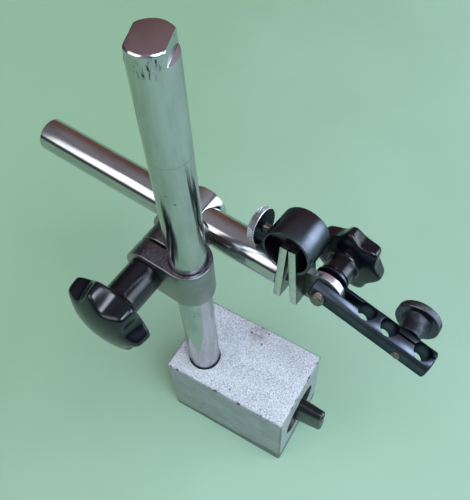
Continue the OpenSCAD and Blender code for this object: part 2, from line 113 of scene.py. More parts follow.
# Lobed knobs: their lobes, the depth and lean of the scallops, and the shares of the head that curve
KNOB_LOBES = 7
VALLEY_SHARE = 0.73
SCALLOP_LEAN = math.radians(13)
CROWN_SHARE = 0.37
HEEL_SHARE = 0.23
KNOB_EDGE = 0.4 * MM
# How softly the scallops of each knob run out
CLAMP_KNOB_BLEND = 2.4 * MM
SWIVEL_KNOB_BLEND = 2.0 * MM
# How finely a knob is meshed, and how many times its mesh is eased
STEPS_PER_LOBE = 32
KNOB_ROW = 0.45 * MM
HEEL_POINTS = 30
CROWN_POINTS = 40
KNOB_EASE = 40

# Knurled screws: ridges round the head, their pitch along it and their depth, and the steps round
# the mesh and its longest face along the profile
FINE_RIDGES = 62
FINE_KNURL_PITCH = 0.86 * MM
FINE_KNURL_DEPTH = 0.42 * MM
FINE_STEPS = 6 * FINE_RIDGES
FINE_ROW = 0.11 * MM
STEM_RIDGES = 96
STEM_KNURL_PITCH = 0.64 * MM
STEM_KNURL_DEPTH = 0.2 * MM
STEM_STEPS = 5 * STEM_RIDGES
STEM_ROW = 0.13 * MM
# The bevel of a knurled head, and the plain margin at either end of its knurl
HEAD_BEVEL = 0.4 * MM
KNURL_MARGIN = 0.35 * MM

# Threads of the two screws and of the stud, with the steps and the longest face of the stud's mesh
SCREW_PITCH = 0.7 * MM
SCREW_DEPTH = 0.24 * MM
STUD_PITCH = 0.8 * MM
STUD_DEPTH = 0.36 * MM
STUD_STEPS = 56
STUD_ROW = 0.14 * MM

# Marks of use, each a place, a size and how ragged it is, and the height of the line round the post
STAIN = ((-0.0009, 0.0165, 0.057), 5.5 * MM, 3 * MM)
RIM_CHIP = ((0.0345, -0.004, 0.0445), 1.6 * MM, 1.2 * MM)
SMUDGE = ((-0.016, -0.0146, 0.2625), 4.5 * MM, 2 * MM)
SCRIBED_HEIGHT = 0.221

# The gap round the post where it enters the block
SEAT_GAP = 0.2 * MM

# Wear of the paint: how far in from the top's border it starts and is full; and the dark band along the bottom:
# its height, its rise towards the lever and how ragged it is
RIM_WEAR_START = 1.3 * MM
RIM_WEAR_FULL = 0.4 * MM
BAND_HEIGHT = 6 * MM
BAND_RISE = 5 * MM
BAND_RAGGED = 3 * MM

# Fine lines of brushed steel, in waves to a metre along each axis
EDGE_LINES = (700, 700, 700)
GROUND_LINES = (260, 260, 2400)
TONGUE_LINES = (300, 1800, 300)

# Linear colours
# The paint's top and side are lit and shaded copies of one paint: painted light on top, painted shade and a
# painted green floor reflection on the sides
LIT_PAINT_TOP = (0.650, 0.688, 0.735)
SHADED_PAINT_SIDE = (0.240, 0.280, 0.282)
PAINT_SHADE = (0.400, 0.415, 0.450)
PAINT_LINE = (0.060, 0.062, 0.072)
PAINT_STAIN = (0.240, 0.195, 0.185)
# Near black, painted shade inside the bores
SHADED_INSIDE = (0.012, 0.012, 0.013)
# The bottom band's colour, tinted green as a painted reflection of the floor
DARK_BAND_FLOOR_TINT = (0.085, 0.115, 0.104)
CHIP_DARK = (0.040, 0.038, 0.040)
CHIP_BRIGHT = (0.850, 0.850, 0.850)
POLISHED = (0.485, 0.492, 0.494)
POLISHED_DULL = (0.390, 0.395, 0.400)
TURNED_FACE = (0.400, 0.320, 0.330)
MILLED_FACE = (0.560, 0.540, 0.590)
PIT_BROWN = (0.120, 0.105, 0.100)
GROUND = (0.700, 0.700, 0.690)
GROUND_DARK = (0.500, 0.500, 0.500)
# The clamp's tops are painted darker than its sides, as painted shade
SATIN_TOP_SHADED = (0.240, 0.234, 0.268)
SATIN_TOP_SHADED_DARK = (0.070, 0.068, 0.082)
SATIN_SIDE = (0.290, 0.295, 0.300)
SATIN_SIDE_DARK = (0.225, 0.230, 0.232)
# Darker copies of the ground steel: painted shade on the jaws' sides and tops and the tongue's flat faces
JAW_SIDE_SHADE = (0.170, 0.172, 0.176)
JAW_SIDE_SHADE_DARK = (0.110, 0.112, 0.115)
# Rubbed edges, made paler than steel can be as a painted highlight
EDGE_HIGHLIGHT = (0.950, 0.950, 0.950)
EDGE_HIGHLIGHT_DULL = (0.780, 0.780, 0.780)
OXIDE = (0.116, 0.130, 0.160)
OXIDE_DARK = (0.078, 0.087, 0.107)
OXIDE_WORN = (0.320, 0.310, 0.310)
BAR_OXIDE = (0.080, 0.096, 0.122)
BAR_OXIDE_DARK = (0.054, 0.066, 0.086)
KNURL_GREY = (0.780, 0.780, 0.800)
KNURL_GREY_DARK = (0.480, 0.475, 0.480)
KNURL_BROWN = (0.190, 0.188, 0.194)
KNURL_BROWN_DARK = (0.076, 0.074, 0.076)
COLLAR = (0.074, 0.080, 0.094)
COLLAR_DARK = (0.046, 0.050, 0.058)
THREAD = (0.230, 0.208, 0.190)
THREAD_DARK = (0.175, 0.160, 0.148)
# The tongue's steel, made paler than steel can be as a painted highlight
TONGUE = (0.900, 0.900, 0.910)
TONGUE_DARK = (0.760, 0.760, 0.770)
GRAZING = (0.350, 0.350, 0.370)
PLASTIC = (0.002, 0.0032, 0.0065)
PLASTIC_DUST = (0.009, 0.010, 0.014)
PLASTIC_WORN = (0.240, 0.250, 0.245)
BRASS = (0.560, 0.420, 0.170)
BRASS_DARK = (0.420, 0.310, 0.140)
MAGNET = (0.060, 0.060, 0.066)
MAGNET_DARK = (0.040, 0.040, 0.045)
FLOOR = (0.408, 0.605, 0.480)
FLOOR_PAINTED_SHADE = (0.262, 0.420, 0.270)

# Colours of the room that the polished pieces reflect
ROOM_BACK = (0.232, 0.126, 0.108)
ROOM_FRONT = (0.380, 0.400, 0.450)
ROOM_LOW = (0.070, 0.072, 0.085)
ROOM_TOP = (0.360, 0.350, 0.400)
ROOM_DIM = (0.050, 0.050, 0.058)
# Soft glows of the room: a direction, the angles from it where the glow starts and is full, and a colour
GLOWS = [
    ((0.50, -0.22, 0.84), 20, 8, (8.8, 10.0, 11.4)),
    ((0.83, 0.20, 0.52), 19, 6, (3.2, 3.8, 4.5)),
    ((0.79, 0.56, 0.26), 28, 8, (4.4, 5.1, 5.9)),
]


def points_of(node):
    """The points of a CAD node, one row each."""
    mesh = NODES[node].data
    points = np.empty(len(mesh.vertices) * 3)
    mesh.vertices.foreach_get("co", points)
    return points.reshape(-1, 3)


def axis_frame(joint):
    """The frame of a hinge: its Z runs along the hinge's axis."""
    turn = Vector(JOINTS[joint]["axis"]).to_track_quat("Z", "Y")
    return Matrix.Translation(JOINTS[joint]["pos_m"]) @ turn.to_matrix().to_4x4()


def around(node, place):
    """Radius, angle and height of a node's points about the Z of a frame."""
    inverse = np.array(place.inverted())
    local = points_of(node) @ inverse[:3, :3].T + inverse[:3, 3]
    return np.hypot(local[:, 0], local[:, 1]), np.arctan2(local[:, 1], local[:, 0]), local[:, 2]


def reach(node, place, low=-math.inf, high=math.inf):
    """The largest radius of a node about a frame's Z between two heights."""
    radius, _, height = around(node, place)
    return radius[(height > low) & (height < high)].max()


def extent(node, place, beyond=0.0):
    """The lowest and highest point of a node along a frame's Z, of those beyond a radius."""
    radius, _, height = around(node, place)
    kept = height[radius >= beyond]
    return kept.min(), kept.max()


def make_piece(name, mesh, place, *nodes):
    """Links a mesh as a piece that stands for CAD nodes and rides on their body."""
    mesh.set_sharp_from_angle(angle=SHADING_BREAK)
    piece = bpy.data.objects.new(name, mesh)
    bpy.context.scene.collection.objects.link(piece)
    piece.matrix_world = place
    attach(piece, BODY_OF[nodes[0]])
    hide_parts(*nodes)
    return piece


def mesh_from(name, points, faces):
    """A smooth-shaded mesh from points and faces, with its normals facing out."""
    mesh = bpy.data.meshes.new(name)
    mesh.from_pydata([tuple(p) for p in points], [], faces)
    form = bmesh.new()
    form.from_mesh(mesh)
    bmesh.ops.recalc_face_normals(form, faces=form.faces)
    form.to_mesh(mesh)
    form.free()
    mesh.shade_smooth()
    return mesh


def rounded_path(corners, steps=4):
    """Points of a path whose corners, each (x, y, fillet), are rounded."""
    path = []
    for i, (x, y, fillet) in enumerate(corners):
        here = np.array((x, y))
        if fillet == 0 or i in (0, len(corners) - 1):
            path.append(here)
            continue
        before = np.array(corners[i - 1][:2]) - here
        after = np.array(corners[i + 1][:2]) - here
        start = here + before / np.linalg.norm(before) * fillet
        end = here + after / np.linalg.norm(after) * fillet
        for t in np.linspace(0, 1, steps + 1):
            path.append((1 - t) ** 2 * start + 2 * t * (1 - t) * here + t ** 2 * end)
    return path


def refined(path, step):
    """The same path with points added so that no two are further apart than a step."""
    fine = [path[0]]
    for a, b in zip(path[:-1], path[1:]):
        parts = max(1, math.ceil(np.linalg.norm(np.subtract(b, a)) / step))
        fine += [np.add(a, np.subtract(b, a) * i / parts) for i in range(1, parts + 1)]
    return fine


def turned_mesh(name, profile, steps, relief=None, ease=0, kept=0):
    """A closed form turned about Z. The profile lists (radius, height) from axis to axis.

    A relief changes the radius. Easing moves each point towards its neighbours that many times,
    except on the first rings, which are kept.
    """
    profile = np.array(profile)
    angle = np.arange(steps)[None, :] * 2 * math.pi / steps
    radius = np.repeat(profile[1:-1, :1], steps, 1)
    height = np.repeat(profile[1:-1, 1:], steps, 1)
    if relief:
        radius = relief(radius, height, angle)
    rings = np.stack([radius * np.cos(angle), radius * np.sin(angle), height], -1)
    for _ in range(ease):
        beside = (np.roll(rings, 1, 1) + np.roll(rings, -1, 1))[kept:-1]
        along = rings[kept - 1:-2] + rings[kept + 1:]
        rings[kept:-1] = rings[kept:-1] / 2 + (beside + along) / 8
    ends = [(0, 0, profile[0, 1]), (0, 0, profile[-1, 1])]
    count = len(profile) - 2
    first, last = count * steps, count * steps + 1
    faces = []
    for j in range(steps):
        k = (j + 1) % steps
        faces.append((first, k, j))
        faces.append((last, (count - 1) * steps + j, (count - 1) * steps + k))
        for i in range(count - 1):
            faces.append((i * steps + j, i * steps + k, (i + 1) * steps + k, (i + 1) * steps + j))
    return mesh_from(name, np.vstack([rings.reshape(-1, 3), ends]), faces)


def ridge(phase):
    """A triangle wave: 1 at whole numbers, 0 half way between."""
    return np.abs(2 * (phase % 1) - 1)


def knurled(low, high, count, pitch, depth):
    """Relief of a crossed knurl on a rim between two heights, with a plain margin at either end."""
    start, end = low + KNURL_MARGIN, high - KNURL_MARGIN

    def relief(radius, height, angle):
        turn = count * angle / (2 * math.pi)
        rise = (height - start) / pitch
        groove = np.maximum(ridge(turn + rise), ridge(turn - rise))
        inside = (height > start) & (height < end) & (radius > 0.97 * radius.max())
        return radius - depth * groove * inside

    return relief


def threaded(low, high, largest, pitch, depth):
    """Relief of a thread between two heights, on what is no wider than a radius and not much narrower."""

    def relief(radius, height, angle):
        inside = (height > low) & (height < high) & (radius < largest) & (radius > 0.8 * largest)
        return radius - depth * ridge(height / pitch - angle / (2 * math.pi)) * inside

    return relief


def screw_mesh(name, corners, row, steps, knurl, thread):
    """A turned screw with a knurl on its head and a thread on its shank."""
    profile = refined(rounded_path(corners, 3), row)
    return turned_mesh(name, profile, steps, lambda r, h, a: thread(knurl(r, h, a), h, a))


def soft_min(a, b, blend):
    """The smaller of two values, with the corner between them rounded off."""
    share = np.clip(blend - np.abs(a - b), 0, None) / blend
    return np.minimum(a, b) - share ** 2 * blend / 4


def eased(node, width, skip=None, segments=2):
    """A copy of a CAD node with its sharp edges rounded; the new faces take the second material."""
    source = NODES[node].data
    mesh = bpy.data.meshes.new(node + "_eased")
    mesh.from_pydata(points_of(node), [], [tuple(p.vertices) for p in source.polygons])
    form = bmesh.new()
    form.from_mesh(mesh)
    bmesh.ops.remove_doubles(form, verts=form.verts, dist=TINY / 10)
    bmesh.ops.dissolve_limit(form, angle_limit=FLAT_ANGLE, verts=form.verts, edges=form.edges)
    sharp = [e for e in form.edges if len(e.link_faces) == 2 and e.calc_face_angle(0) > SHARP_ANGLE]
    rounded = [e for e in sharp if not (skip and skip(e))]
    bmesh.ops.bevel(form, geom=rounded, offset=width, offset_type="OFFSET", segments=segments,
                    profile=0.5, affect="EDGES", clamp_overlap=False, material=1)
    form.to_mesh(mesh)
    form.free()
    mesh.shade_smooth()
    return make_piece(node + "_body", mesh, Matrix.Identity(4), node)


def assign(piece, index, test):
    """Gives a material to the faces whose middle and normal pass a test."""
    for face in piece.data.polygons:
        if test(face.center, face.normal):
            face.material_index = index


def off_axis(point):
    """How far a point of a turned piece lies from its axis."""
    return math.hypot(point.x, point.y)


class Shading:
    """A shader tree, with short ways to add what the finishes are made of."""

    def __init__(self, tree):
        self.tree = tree
        coordinates = tree.nodes.new("ShaderNodeTexCoord")
        self.place = coordinates.outputs["Object"]
        self.facing = coordinates.outputs["Normal"]
        self.direction = coordinates.outputs["Generated"]

    def feed(self, socket, value):
        """Links a socket to another one, or sets its constant."""
        if isinstance(value, bpy.types.NodeSocket):
            self.tree.links.new(value, socket)
        elif isinstance(value, tuple) and len(value) == 3 and socket.type == "RGBA":
            socket.default_value = (*value, 1)
        else:
            socket.default_value = value

    def vectors(self, operation, a, b, result="Vector"):
        """An operation on two vectors."""
        node = self.tree.nodes.new("ShaderNodeVectorMath")
        node.operation = operation
        self.feed(node.inputs[0], a)
        self.feed(node.inputs[1], b)
        return node.outputs[result]

    def stretched(self, scale):
        """The piece's coordinates, scaled by its own amount along each axis."""
        return self.vectors("MULTIPLY", self.place, scale)

    def noise(self, scale, detail=2.0, vector=None, rough=0.5):
        """Soft noise about 0.5, with so many waves to a metre."""
        node = self.tree.nodes.new("ShaderNodeTexNoise")
        node.inputs["Scale"].default_value = scale
        node.inputs["Detail"].default_value = detail
        node.inputs["Roughness"].default_value = rough
        self.feed(node.inputs["Vector"], vector or self.place)
        return node.outputs["Fac"]

    def cells(self, scale):
        """Distance to the nearest of scattered points, as a share of their spacing."""
        node = self.tree.nodes.new("ShaderNodeTexVoronoi")
        node.inputs["Scale"].default_value = scale
        self.feed(node.inputs["Vector"], self.place)
        return node.outputs["Distance"]

    def part(self, vector, axis):
        """One component of a vector."""
        node = self.tree.nodes.new("ShaderNodeSeparateXYZ")
        self.feed(node.inputs[0], vector)
        return node.outputs[axis]

    def ramp(self, value, low, high, start=0.0, end=1.0):
        """Maps a value from one span to another, and stops at its ends."""
        node = self.tree.nodes.new("ShaderNodeMapRange")
        for socket, number in zip(node.inputs[:5], (value, low, high, start, end)):
            self.feed(socket, number)
        return node.outputs["Result"]

    def combine(self, operation, a, b=0.0):
        """An operation on one or two numbers."""
        node = self.tree.nodes.new("ShaderNodeMath")
        node.operation = operation
        self.feed(node.inputs[0], a)
        self.feed(node.inputs[1], b)
        return node.outputs[0]

    def both(self, a, b):
        """The product of two shares."""
        return self.combine("MULTIPLY", a, b)

    def mix(self, share, a, b):
        """A colour that goes from one to another as the share goes from 0 to 1."""
        node = self.tree.nodes.new("ShaderNodeMix")
        node.data_type = "RGBA"
        self.feed(node.inputs["Factor"], share)
        self.feed(node.inputs[6], a)
        self.feed(node.inputs[7], b)
        return node.outputs[2]

    def mark(self, point, size, ragged):
        """1 within a ragged patch round a point, 0 outside it."""
        apart = self.vectors("DISTANCE", self.place, point, "Value")
        uneven = self.ramp(self.noise(2 / size, 3, rough=0.65), 0.3, 0.7, -ragged, ragged)
        return self.ramp(self.combine("ADD", apart, uneven), size, 0.6 * size)


class Finish(Shading):
    """A material whose colour, roughness and relief come from textures in the piece's own space."""

    def __init__(self, name, metallic):
        self.material = bpy.data.materials.new(name)
        self.material.use_nodes = True
        super().__init__(self.material.node_tree)
        self.shader = self.tree.nodes["Principled BSDF"]
        self.shader.inputs["Metallic"].default_value = metallic
        self.relief = None

    def set(self, name, value):
        """Sets or links an input of the surface shader."""
        self.feed(self.shader.inputs[name], value)

    def emboss(self, height, depth):
        """Adds a relief that is a depth high where the texture is 1."""
        node = self.tree.nodes.new("ShaderNodeBump")
        node.inputs["Strength"].default_value = 1
        node.inputs["Distance"].default_value = depth
        self.feed(node.inputs["Height"], height)
        if self.relief:
            self.feed(node.inputs["Normal"], self.relief)
        self.relief = node.outputs["Normal"]
        self.set("Normal", self.relief)


def paint_finish(name):
    """Pale grey paint, crackled on top, with specks, worn edges, a dark bottom band, and painted light and shade.
    """
    f = Finish(name, metallic=0.0)
    top = f.ramp(f.part(f.facing, "Z"), 0.7, 0.95)
    height = f.part(f.place, "Z")
    cloud = f.noise(110, 4, rough=0.6)
    grain = f.noise(1300, 3, rough=0.6)

    # Painted light and shade: a lit, bluer top and darker, greener sides; then clouded ground
    colour = f.mix(top, SHADED_PAINT_SIDE, LIT_PAINT_TOP)
    colour = f.mix(f.ramp(cloud, 0.45, 0.75, 0.0, 0.4), colour, PAINT_SHADE)
    mottle = f.ramp(f.noise(900, 2), 0.50, 0.68, 0.0, 0.5)
    colour = f.mix(f.both(mottle, top), colour, PAINT_SHADE)

    # Crackle, specks and a stain
    off_middle = f.combine("ABSOLUTE", f.combine("SUBTRACT", f.noise(1100, 4, rough=0.62), 0.5))
    crackle = f.both(f.ramp(off_middle, 0.042, 0.012), f.ramp(grain, 0.38, 0.52))
    crackle = f.both(crackle, f.ramp(top, 0.0, 1.0, 0.10, 0.95))
    colour = f.mix(crackle, colour, PAINT_LINE)
    specks = f.both(f.ramp(f.noise(900, 3, rough=0.6), 0.345, 0.30), f.ramp(top, 0.0, 1.0, 0.35, 0.9))
    colour = f.mix(specks, colour, PAINT_LINE)
    stain = f.both(f.mark(*STAIN), f.ramp(f.noise(600, 4), 0.35, 0.65, 0.2, 0.75))
    colour = f.mix(stain, colour, PAINT_STAIN)

    # Dark corners, dented upper edges and chips
    sides = [f.combine("ABSOLUTE", f.part(f.facing, axis)) for axis in "XYZ"]
    flattest = f.combine("MAXIMUM", f.combine("MAXIMUM", sides[0], sides[1]), sides[2])
    borders = []
    for axis, half in zip("XY", BLOCK_HALF):
        off = f.combine("ABSOLUTE", f.part(f.place, axis))
        borders.append(f.ramp(off, half - RIM_WEAR_START, half - RIM_WEAR_FULL))
    rim = f.both(top, f.combine("MAXIMUM", *borders))
    upper = f.both(f.ramp(flattest, 0.985, 0.90), f.ramp(height, BLOCK_TOP - 7 * MM, BLOCK_TOP - MM))
    edge = f.combine("MAXIMUM", upper, rim)
    dents = f.both(edge, f.ramp(f.noise(520, 3, rough=0.65), 0.56, 0.60))
    chips = f.both(f.ramp(f.cells(170), 0.13, 0.09), f.ramp(f.noise(75, 2), 0.50, 0.54))
    worn = f.combine("MAXIMUM", dents, chips)
    below_top = f.ramp(height, BLOCK_TOP - MM, BLOCK_TOP - 3 * MM, 0.0, 0.7)
    corner = f.both(f.ramp(flattest, 0.97, 0.80), below_top)
    colour = f.mix(corner, colour, PAINT_LINE)
    colour = f.mix(worn, colour, CHIP_DARK)
    colour = f.mix(f.mark(*RIM_CHIP), colour, CHIP_BRIGHT)

    # Dark band along the bottom, tinted green as a painted floor reflection, and bores darkened as painted shade
    wedge = f.ramp(f.part(f.place, "X"), -BLOCK_HALF[0], BLOCK_HALF[0], 0.0, BAND_RISE)
    uneven = f.ramp(f.noise(230, 4, rough=0.62), 0.3, 0.7, 0.0, BAND_RAGGED)
    ragged = f.combine("ADD", f.combine("SUBTRACT", height, wedge), uneven)
    colour = f.mix(f.ramp(ragged, BAND_HEIGHT + 0.4 * MM, BAND_HEIGHT - 0.4 * MM), colour, DARK_BAND_FLOOR_TINT)
    # The bore's insides and the gap round the post are painted near black as painted shade
    for joint, radius in (("switch_turn", BORE_RADIUS), ("post_swing", SEAT_RADIUS)):
        across = f.vectors("SUBTRACT", f.place, tuple(JOINTS[joint]["pos_m"]))
        level = tuple(1.0 - abs(a) for a in JOINTS[joint]["axis"])
        apart = f.vectors("LENGTH", f.vectors("MULTIPLY", across, level), (0, 0, 0), "Value")
        colour = f.mix(f.ramp(apart, radius + 0.10 * MM, radius), colour, SHADED_INSIDE)

    f.set("Base Color", colour)
    f.set("Roughness", f.ramp(cloud, 0.3, 0.7, 0.52, 0.40))
    f.emboss(grain, 0.012 * MM)
    f.emboss(crackle, -0.03 * MM)
    f.emboss(worn, -0.08 * MM)
    return f.material


def polished_finish(name, scribed=None):
    """Polished rod steel: fine rings from grinding, faint smears and small pits.

    The post, which has a scribed line at a height, also has a smudge and duller machined faces.
    """
    f = Finish(name, metallic=1.0)
    rings = f.noise(1, 4, f.stretched((60, 60, 9000)), 0.6)
    smear = f.noise(1, 4, f.stretched((160, 160, 45)), 0.6)
    pits = f.both(f.ramp(f.cells(190), 0.10, 0.06), f.ramp(f.noise(40, 2), 0.57, 0.60))
    face = f.ramp(f.combine("ABSOLUTE", f.part(f.facing, "Z")), 0.85, 0.95)
    colour = f.mix(f.ramp(smear, 0.42, 0.66), POLISHED, POLISHED_DULL)
    colour = f.mix(pits, colour, PIT_BROWN)
    if scribed:
        height = f.part(f.place, "Z")
        beside = f.combine("ABSOLUTE", f.combine("SUBTRACT", height, scribed))
        faint = f.both(f.ramp(beside, 0.35 * MM, 0.10 * MM), f.ramp(smear, 0.35, 0.6, 0.5, 0.1))
        colour = f.mix(faint, colour, PIT_BROWN)
        streaks = f.ramp(f.noise(1, 4, f.stretched((900, 900, 300)), 0.65), 0.50, 0.62)
        colour = f.mix(f.both(f.mark(*SMUDGE), streaks), colour, CHIP_DARK)
        turned = f.ramp(height, POST_TOP - MM, POST_TOP - 0.5 * MM)
        colour = f.mix(face, colour, f.mix(turned, MILLED_FACE, TURNED_FACE))
    f.set("Base Color", colour)
    shine = f.combine("ADD", f.ramp(smear, 0.35, 0.7, 0.11, 0.19), f.both(face, 0.24))
    f.set("Roughness", f.combine("ADD", shine, f.both(pits, 0.3)))
    f.set("Anisotropic", f.ramp(face, 0.0, 1.0, 0.6, 0.0))
    f.set("Anisotropic Rotation", 0.25)
    f.emboss(rings, 0.0018 * MM)
    f.emboss(pits, -0.04 * MM)
    return f.material


def brushed_finish(name, pale, dark, lines, roughness, depth):
    """Brushed or ground steel whose fine lines run along the axis that has the fewest waves."""
    f = Finish(name, metallic=1.0)
    streak = f.noise(1, 5, f.stretched(lines), 0.65)
    cloud = f.noise(120, 3)
    colour = f.mix(f.ramp(streak, 0.35, 0.65), dark, pale)
    f.set("Base Color", f.mix(f.ramp(cloud, 0.55, 0.75, 0.0, 0.35), colour, dark))
    f.set("Roughness", f.ramp(streak, 0.3, 0.7, roughness + 0.06, roughness - 0.05))
    f.emboss(streak, depth)
    return f.material


def clamp_finish(name):
    """Satin steel: flat tops painted dark as painted shade, with fine lines; smooth and paler on the sides."""
    f = Finish(name, metallic=1.0)
    top = f.ramp(f.combine("ABSOLUTE", f.part(f.facing, "Z")), 0.80, 0.95)
    lines = f.noise(1, 4, f.stretched((2300, 420, 420)), 0.65)
    cloud = f.noise(150, 4)
    shade = f.ramp(lines, 0.36, 0.62)
    side = f.mix(f.ramp(cloud, 0.35, 0.70), SATIN_SIDE, SATIN_SIDE_DARK)
    # The tops take darker colours than the sides: painted shade
    f.set("Base Color", f.mix(top, side, f.mix(shade, SATIN_TOP_SHADED_DARK, SATIN_TOP_SHADED)))
    f.set("Roughness", f.ramp(cloud, 0.3, 0.7, 0.38, 0.30))
    f.emboss(f.both(lines, f.ramp(top, 0.0, 1.0, 0.12, 1.0)), 0.012 * MM)
    return f.material


def oxide_finish(name, pale, dark, roughness):
    """Black oxide on turned steel, rubbed thin in places."""
    f = Finish(name, metallic=1.0)
    cloud = f.noise(140, 4)
    colour = f.mix(f.ramp(cloud, 0.35, 0.65), dark, pale)
    rubbed = f.both(f.ramp(f.noise(420, 5, rough=0.7), 0.64, 0.74), 0.12)
    f.set("Base Color", f.mix(rubbed, colour, OXIDE_WORN))
    f.set("Specular Tint", GRAZING)
    f.set("Roughness", f.ramp(cloud, 0.3, 0.7, roughness + 0.05, roughness - 0.06))
    f.emboss(f.noise(1600, 2), 0.005 * MM)
    return f.material


def worn_finish(name, pale, dark, roughness):
    """Edges, knurls, collars and threads that are rubbed brighter in places."""
    f = Finish(name, metallic=1.0)
    wear = f.noise(500, 4, rough=0.65)
    f.set("Base Color", f.mix(f.ramp(wear, 0.38, 0.60), dark, pale))
    f.set("Roughness", f.ramp(wear, 0.3, 0.7, roughness + 0.06, roughness - 0.06))
    f.emboss(f.noise(2200, 2), 0.004 * MM)
    return f.material


def plastic_finish(name, roughness, grain, tip=None):
    """Moulded black plastic with a trace of dust, and rubbed near a tip along X where it has one."""
    f = Finish(name, metallic=0.0)
    cloud = f.noise(90, 4)
    dust = f.ramp(f.noise(2400, 2), 0.66, 0.74, 0.0, 0.5)
    colour = f.mix(dust, PLASTIC, PLASTIC_DUST)
    if tip:
        rubbed = f.ramp(f.part(f.place, "X"), tip - 2.4 * MM, tip - 0.5 * MM)
        rubbed = f.both(rubbed, f.ramp(f.noise(850, 3, rough=0.65), 0.55, 0.62))
        colour = f.mix(rubbed, colour, PLASTIC_WORN)
    f.set("Base Color", colour)
    f.set("Roughness", f.ramp(cloud, 0.3, 0.7, roughness - 0.04, roughness + 0.07))
    f.emboss(f.noise(300, 3), grain)
    return f.material


def plain_finish(name, colour, shade, metallic, roughness):
    """A quiet finish for pieces inside: one colour, mottled, with a fine grain."""
    f = Finish(name, metallic)
    cloud = f.noise(260, 4)
    f.set("Base Color", f.mix(f.ramp(cloud, 0.35, 0.65), shade, colour))
    f.set("Roughness", f.ramp(cloud, 0.3, 0.7, roughness + 0.08, roughness - 0.05))
    f.emboss(f.noise(1500, 2), 0.008 * MM)
    return f.material


def dress(piece, *materials):
    """Gives a piece or a CAD node its materials."""
    piece.data.materials.clear()
    for material in materials:
        piece.data.materials.append(material)


# Sizes that the finishes take from the frame
BLOCK_HALF = (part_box("pole_front")[1].x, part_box("pole_rear")[1].y)
BLOCK_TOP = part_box("pole_front")[1].z
LEVER_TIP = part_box("switch_lever")[1].x
BORE_RADIUS = reach("rear_plug", axis_frame("switch_turn"))
POST_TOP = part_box("post")[1].z
SEAT_RADIUS = reach("post", axis_frame("post_swing")) + SEAT_GAP

# Finishes
block_paint = paint_finish("block_paint")
polished = polished_finish("polished_steel")
post_steel = polished_finish("post_steel", SCRIBED_HEIGHT)
# Rounded edges: rubbed steel, paled past steel's own colour as a painted highlight
rubbed_edge_highlight = brushed_finish(
    "rubbed_edge_highlight", EDGE_HIGHLIGHT, EDGE_HIGHLIGHT_DULL, EDGE_LINES,
    roughness=0.28, depth=0.002 * MM,
)
clamp_satin = clamp_finish("clamp_satin")
ground = brushed_finish(
    "ground_steel", GROUND, GROUND_DARK, GROUND_LINES,
    roughness=0.34, depth=0.004 * MM,
)
shaded_jaw_side = brushed_finish(
    "shaded_jaw_side", JAW_SIDE_SHADE, JAW_SIDE_SHADE_DARK, GROUND_LINES,
    roughness=0.34, depth=0.004 * MM,
)
# Paler copy of the ground steel for the tongue, as a painted highlight
lit_tongue_steel = brushed_finish(
    "lit_tongue_steel", TONGUE, TONGUE_DARK, TONGUE_LINES,
    roughness=0.36, depth=0.002 * MM,
)
oxide = oxide_finish("black_oxide", OXIDE, OXIDE_DARK, roughness=0.30)
bar_oxide = oxide_finish("bar_oxide", BAR_OXIDE, BAR_OXIDE_DARK, roughness=0.34)
worn_oxide = worn_finish("worn_oxide", OXIDE_WORN, OXIDE, roughness=0.32)
knurl_grey = worn_finish("knurl_grey", KNURL_GREY, KNURL_GREY_DARK, roughness=0.48)
knurl_brown = worn_finish("knurl_brown", KNURL_BROWN, KNURL_BROWN_DARK, roughness=0.36)
collar_steel = worn_finish("collar_steel", COLLAR, COLLAR_DARK, roughness=0.50)
thread_steel = worn_finish("thread_steel", THREAD, THREAD_DARK, roughness=0.40)
knob_black = plastic_finish("knob_black", roughness=0.19, grain=0.010 * MM)
lever_black = plastic_finish("lever_black", roughness=0.28, grain=0.02 * MM, tip=LEVER_TIP)
insert_brass = plain_finish("insert_brass", BRASS, BRASS_DARK, metallic=1.0, roughness=0.30)
magnet_dark = plain_finish("magnet_dark", MAGNET, MAGNET_DARK, metallic=0.0, roughness=0.55)

# Magnet block
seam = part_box("spacer_upper")[1].y


def on_seam(edge):
    """Whether an edge lies in the plane where a pole meets a spacer."""
    a, b = (v.co.y for v in edge.verts)
    return a * b > 0 and abs(abs(a) - seam) < TINY and abs(abs(b) - seam) < TINY


for node in ("pole_front", "pole_rear", "spacer_upper", "spacer_lower"):
    dress(eased(node, BLOCK_EDGE, on_seam), block_paint)
dress(eased("rear_plug", BLOCK_EDGE), ground, rubbed_edge_highlight)
dress(eased("rotor_disc", BLOCK_EDGE), lever_black)
dress(NODES["retaining_ring"], oxide)
dress(NODES["rotor_magnet"], magnet_dark)
for node in ("rotor_shoes", "rotor_spindle"):
    dress(NODES[node], ground)


def stadium(x, middle, tall, thick):
    """The outline of the lever at one place along X: straight sides with half-round ends."""
    angle = np.arange(LEVER_STEPS) * 2 * math.pi / LEVER_STEPS
    lift = np.sign(np.sin(angle)) * (tall - thick) / 2
    across = thick / 2 * np.cos(angle)
    return np.stack([np.full(LEVER_STEPS, x), across, middle + lift + thick / 2 * np.sin(angle)], 1)


